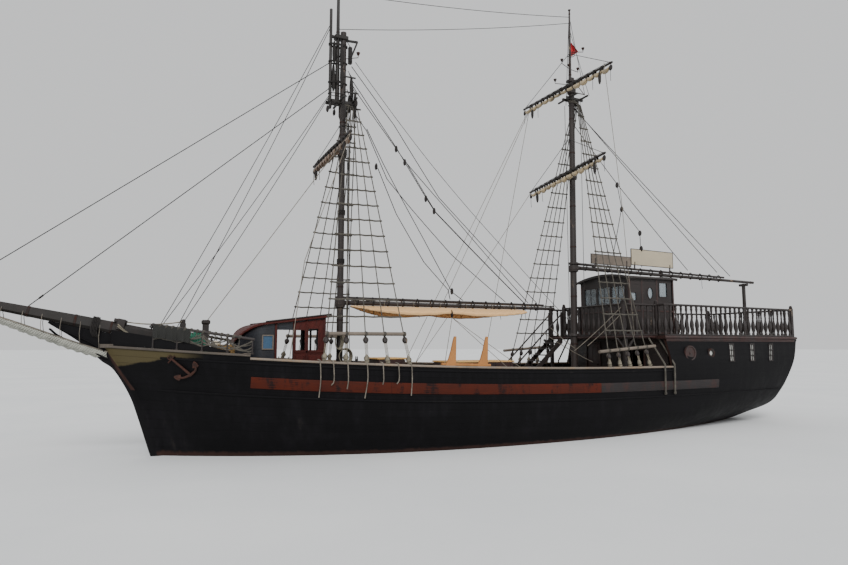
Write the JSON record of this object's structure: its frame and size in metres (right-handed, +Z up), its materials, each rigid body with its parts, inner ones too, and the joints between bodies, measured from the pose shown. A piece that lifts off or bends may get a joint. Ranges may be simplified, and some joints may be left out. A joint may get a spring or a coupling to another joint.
{
  "type": "two-masted wooden excursion sailing ship",
  "caption": "Wooden two-masted excursion ship with a raised quarterdeck, helm shelter, deckhouse, gaff booms, furled square yards, bowsprit, rudder and propeller",
  "frame": {"origin": "On the centreline at the waterline, amidships: the mount named waterline", "axes": "+X to the bow, +Y to port, +Z up; the ship floats upright with its waterline at z = 0"},
  "size_m": [28.0934, 5.784, 17.4],
  "materials": {
    "hull_paint": "painted planks",
    "keel_paint": "painted",
    "pale_wood": "weathered grey",
    "deck_wood": "laid planks",
    "red_wood": "stained",
    "dark_wood": "stained dark",
    "spar": "varnished dark",
    "rope": "laid rope",
    "canvas": "woven",
    "awning_cloth": "woven",
    "sign_board": "painted, blank",
    "bronze": "cast",
    "iron": "rusty",
    "flag_red": "plain cloth"
  },
  "bodies": {
    "ship": {"hull": "hull_paint", "keel": "keel_paint", "bowsprit": "spar", "forecastle_bulwark": "hull_paint", "stem": "hull_paint", "forecastle_deck": "deck_wood", "bulwark_port": "hull_paint", "bulwark_starboard": "hull_paint", "cap_rail_port": "pale_wood", "cap_rail_starboard": "pale_wood", "stern_castle": "hull_paint", "cabin_bulkhead": "hull_paint", "quarterdeck": "red_wood", "quarterdeck_rail_port": "red_wood", "quarterdeck_rail_starboard": "red_wood", "quarterdeck_rail_aft": "red_wood", "quarterdeck_rail_front": "red_wood", "stair": "dark_wood", "helm_shelter": "dark_wood", "helm_shelter_roof": "dark_wood", "helm_pedestal": "dark_wood", "deckhouse": "dark_wood", "deckhouse_roof": "red_wood", "bench_port": "pale_wood", "bench_starboard": "pale_wood", "fore_mast": "spar", "fore_topmast": "spar", "main_mast": "spar", "main_crosstrees": "spar", "fore_shrouds_port": "rope", "fore_shrouds_starboard": "rope", "main_shrouds_port": "rope", "main_shrouds_starboard": "rope", "outer_stay": "rope", "inner_stay": "rope", "boom_crutch": "spar", "bowsprit_bitts": "dark_wood", "forecastle_rail": "dark_wood", "anchor": "iron", "bowsprit_net": "rope", "boarding_timbers": "pale_wood", "flag": "flag_red"},
    "rudder": {"rudder": "keel_paint"},
    "propeller": {"propeller": "bronze"},
    "helm_wheel": {"helm_wheel": "red_wood"},
    "cabin_door": {"cabin_door": "red_wood"},
    "fore_boom": {"fore_boom": "spar", "fore_gaff": "spar", "awning": "awning_cloth"},
    "main_boom": {"main_boom": "spar", "main_gaff": "spar", "sign_boards": "sign_board"},
    "fore_yard": {"fore_yard": "spar", "fore_furled_sail": "canvas"},
    "main_lower_yard": {"main_lower_yard": "spar", "main_lower_sail": "canvas"},
    "main_upper_yard": {"main_upper_yard": "spar", "main_upper_sail": "canvas"}
  },
  "joints": [
    {"name": "rudder_turn", "type": "hinge", "parent": "ship", "child": "rudder", "pos_m": [-9.95, 0, 0], "axis": [0, 0, 1], "range_deg": [-35, 35]},
    {"name": "propeller_spin", "type": "hinge", "parent": "ship", "child": "propeller", "pos_m": [-9.56, 0, -0.76], "axis": [1, 0, 0], "continuous": true},
    {"name": "helm_turn", "type": "hinge", "parent": "ship", "child": "helm_wheel", "pos_m": [-4.79, 0, 4.18], "axis": [1, 0, 0], "continuous": true},
    {"name": "cabin_door_swing", "type": "hinge", "parent": "ship", "child": "cabin_door", "pos_m": [-4.384, -1.5974, 2.1], "axis": [0, 0, 1], "range_deg": [-95, 0]},
    {"name": "fore_boom_swing", "type": "hinge", "parent": "ship", "child": "fore_boom", "pos_m": [6.22, 0, 4.15], "axis": [0, 0, 1], "range_deg": [-45, 45]},
    {"name": "main_boom_swing", "type": "hinge", "parent": "ship", "child": "main_boom", "pos_m": [-2.5296, 0, 5.6693], "axis": [-0.0158, 0, 0.9999], "range_deg": [-60, 60]},
    {"name": "fore_yard_brace", "type": "hinge", "parent": "ship", "child": "fore_yard", "pos_m": [6.22, 0, 8.8], "axis": [0, 0, 1], "range_deg": [-10, 10]},
    {"name": "main_lower_yard_brace", "type": "hinge", "parent": "ship", "child": "main_lower_yard", "pos_m": [-2.5835, 0, 9.0789], "axis": [-0.0158, 0, 0.9999], "range_deg": [-3, 9]},
    {"name": "main_upper_yard_brace", "type": "hinge", "parent": "ship", "child": "main_upper_yard", "pos_m": [-2.6351, 0, 12.3485], "axis": [-0.0158, 0, 0.9999], "range_deg": [-20, 20]}
  ]
}
